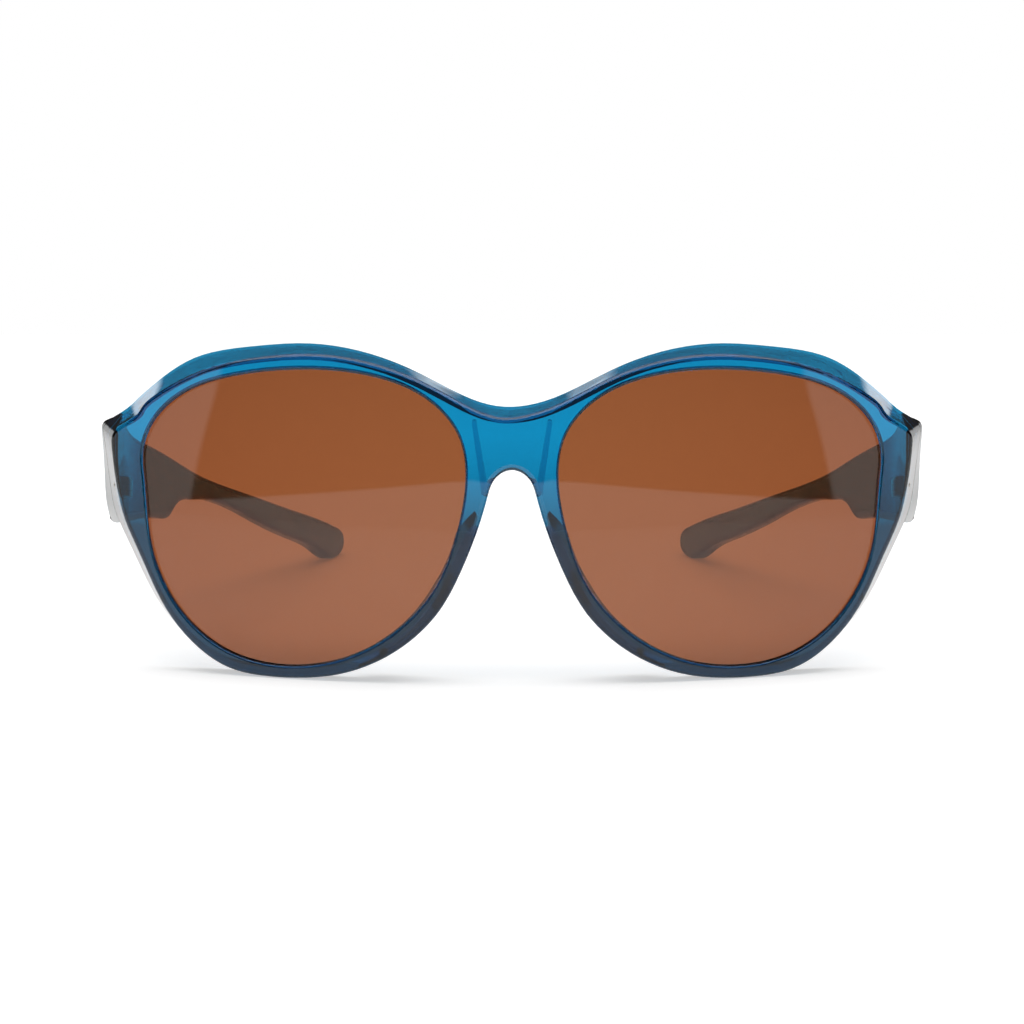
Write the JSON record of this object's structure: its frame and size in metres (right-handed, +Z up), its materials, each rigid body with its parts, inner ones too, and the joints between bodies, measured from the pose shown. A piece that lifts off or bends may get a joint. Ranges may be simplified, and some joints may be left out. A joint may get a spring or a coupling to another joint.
{
  "type": "fitover sunglasses",
  "caption": "Fitover sunglasses with a wide one-piece front, deep side walls behind its rims, tinted lenses and folding temples.",
  "frame": {"origin": "on the table, under the middle of the opened glasses' bounding box", "axes": "+X towards the wearer's left, -Y the way the wearer looks, +Z up; the glasses stand open on both rims and both temple tips"},
  "size_m": [0.1524, 0.1508, 0.0589],
  "materials": {
    "frame": "polished translucent blue",
    "lens": "polished brown tint",
    "hinge": "satin",
    "screw": "bright"
  },
  "bodies": {
    "front": {"front_frame": "frame", "lens_left": "lens", "lens_right": "lens", "hinge_front_leaf_left": "hinge", "hinge_front_leaf_right": "hinge", "hinge_screw_left": "screw", "hinge_screw_right": "screw"},
    "temple_left": {"temple_left": "frame", "hinge_temple_leaf_left": "hinge"},
    "temple_right": {"temple_right": "frame", "hinge_temple_leaf_right": "hinge"}
  },
  "joints": [
    {"name": "temple_left_fold", "type": "hinge", "parent": "front", "child": "temple_left", "pos_m": [0.07089, -0.0489, 0.0317], "axis": [0, 0.2575, 0.9663], "range_deg": [0, 77]},
    {"name": "temple_right_fold", "type": "hinge", "parent": "front", "child": "temple_right", "pos_m": [-0.07089, -0.0489, 0.0317], "axis": [0, -0.2575, -0.9663], "range_deg": [0, 71]}
  ]
}
